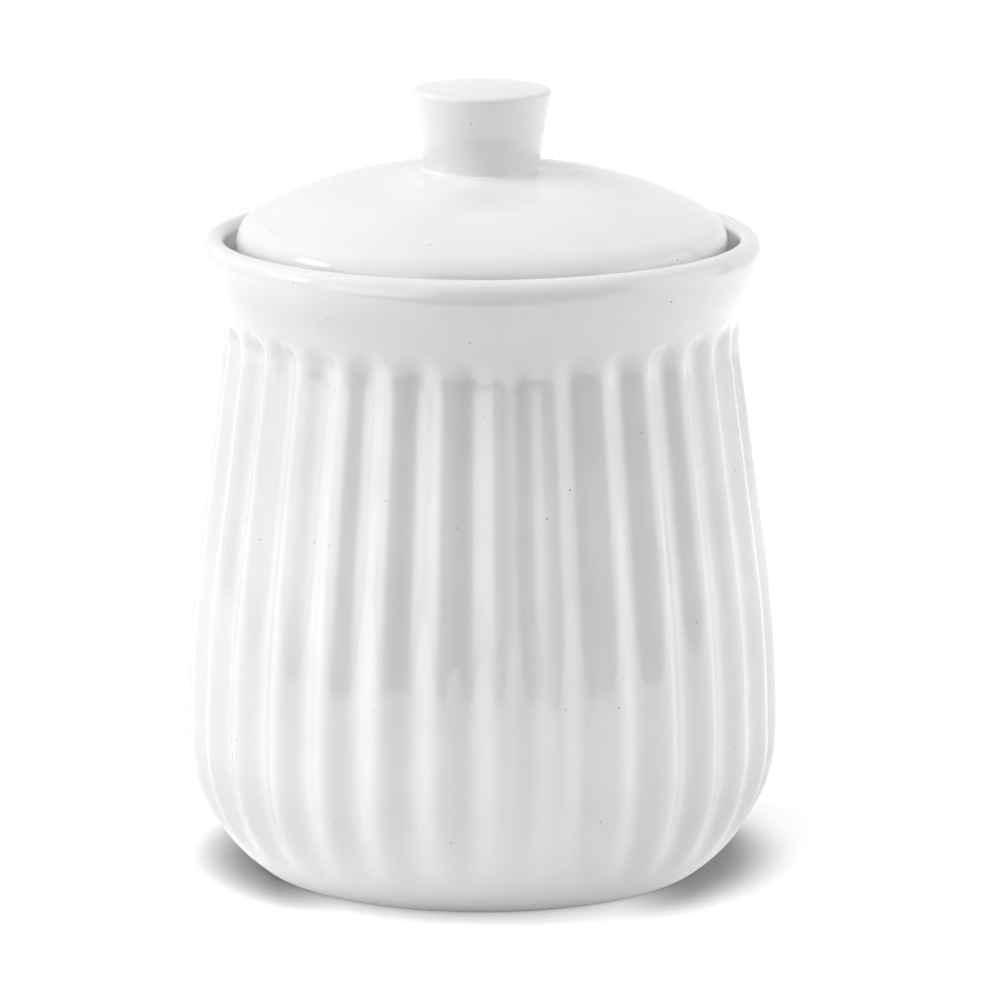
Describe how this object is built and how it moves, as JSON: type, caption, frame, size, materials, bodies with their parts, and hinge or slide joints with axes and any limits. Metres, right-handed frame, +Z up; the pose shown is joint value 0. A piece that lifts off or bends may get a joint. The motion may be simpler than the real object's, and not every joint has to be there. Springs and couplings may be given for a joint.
{
  "type": "storage jar",
  "caption": "Bellied stoneware canister with vertical flutes, a flared rim and a domed lid with a tapered knob that lies in a recess and seals with a silicone ring.",
  "frame": {"origin": "middle of the foot ring, on the table's plane", "axes": "+Z up along the jar's axis, through the knob; -Y faces the viewer of the picture and +X is on the viewer's right"},
  "size_m": [0.132, 0.132, 0.1751],
  "materials": {
    "glaze": "glossy white glaze",
    "silicone": "matte"
  },
  "bodies": {
    "jar": {"jar_body": "glaze"},
    "seal": {"seal_ring": "silicone"},
    "lid": {"lid": "glaze", "lid_knob": "glaze"}
  },
  "joints": [
    {"name": "lid_lift", "type": "slide", "parent": "jar", "child": "seal", "axis": [0, 0, 1], "range_m": [0, 0.06]},
    {"name": "lid_turn", "type": "hinge", "parent": "seal", "child": "lid", "pos_m": [0, 0, 0.1345], "axis": [0, 0, 1], "continuous": true}
  ]
}
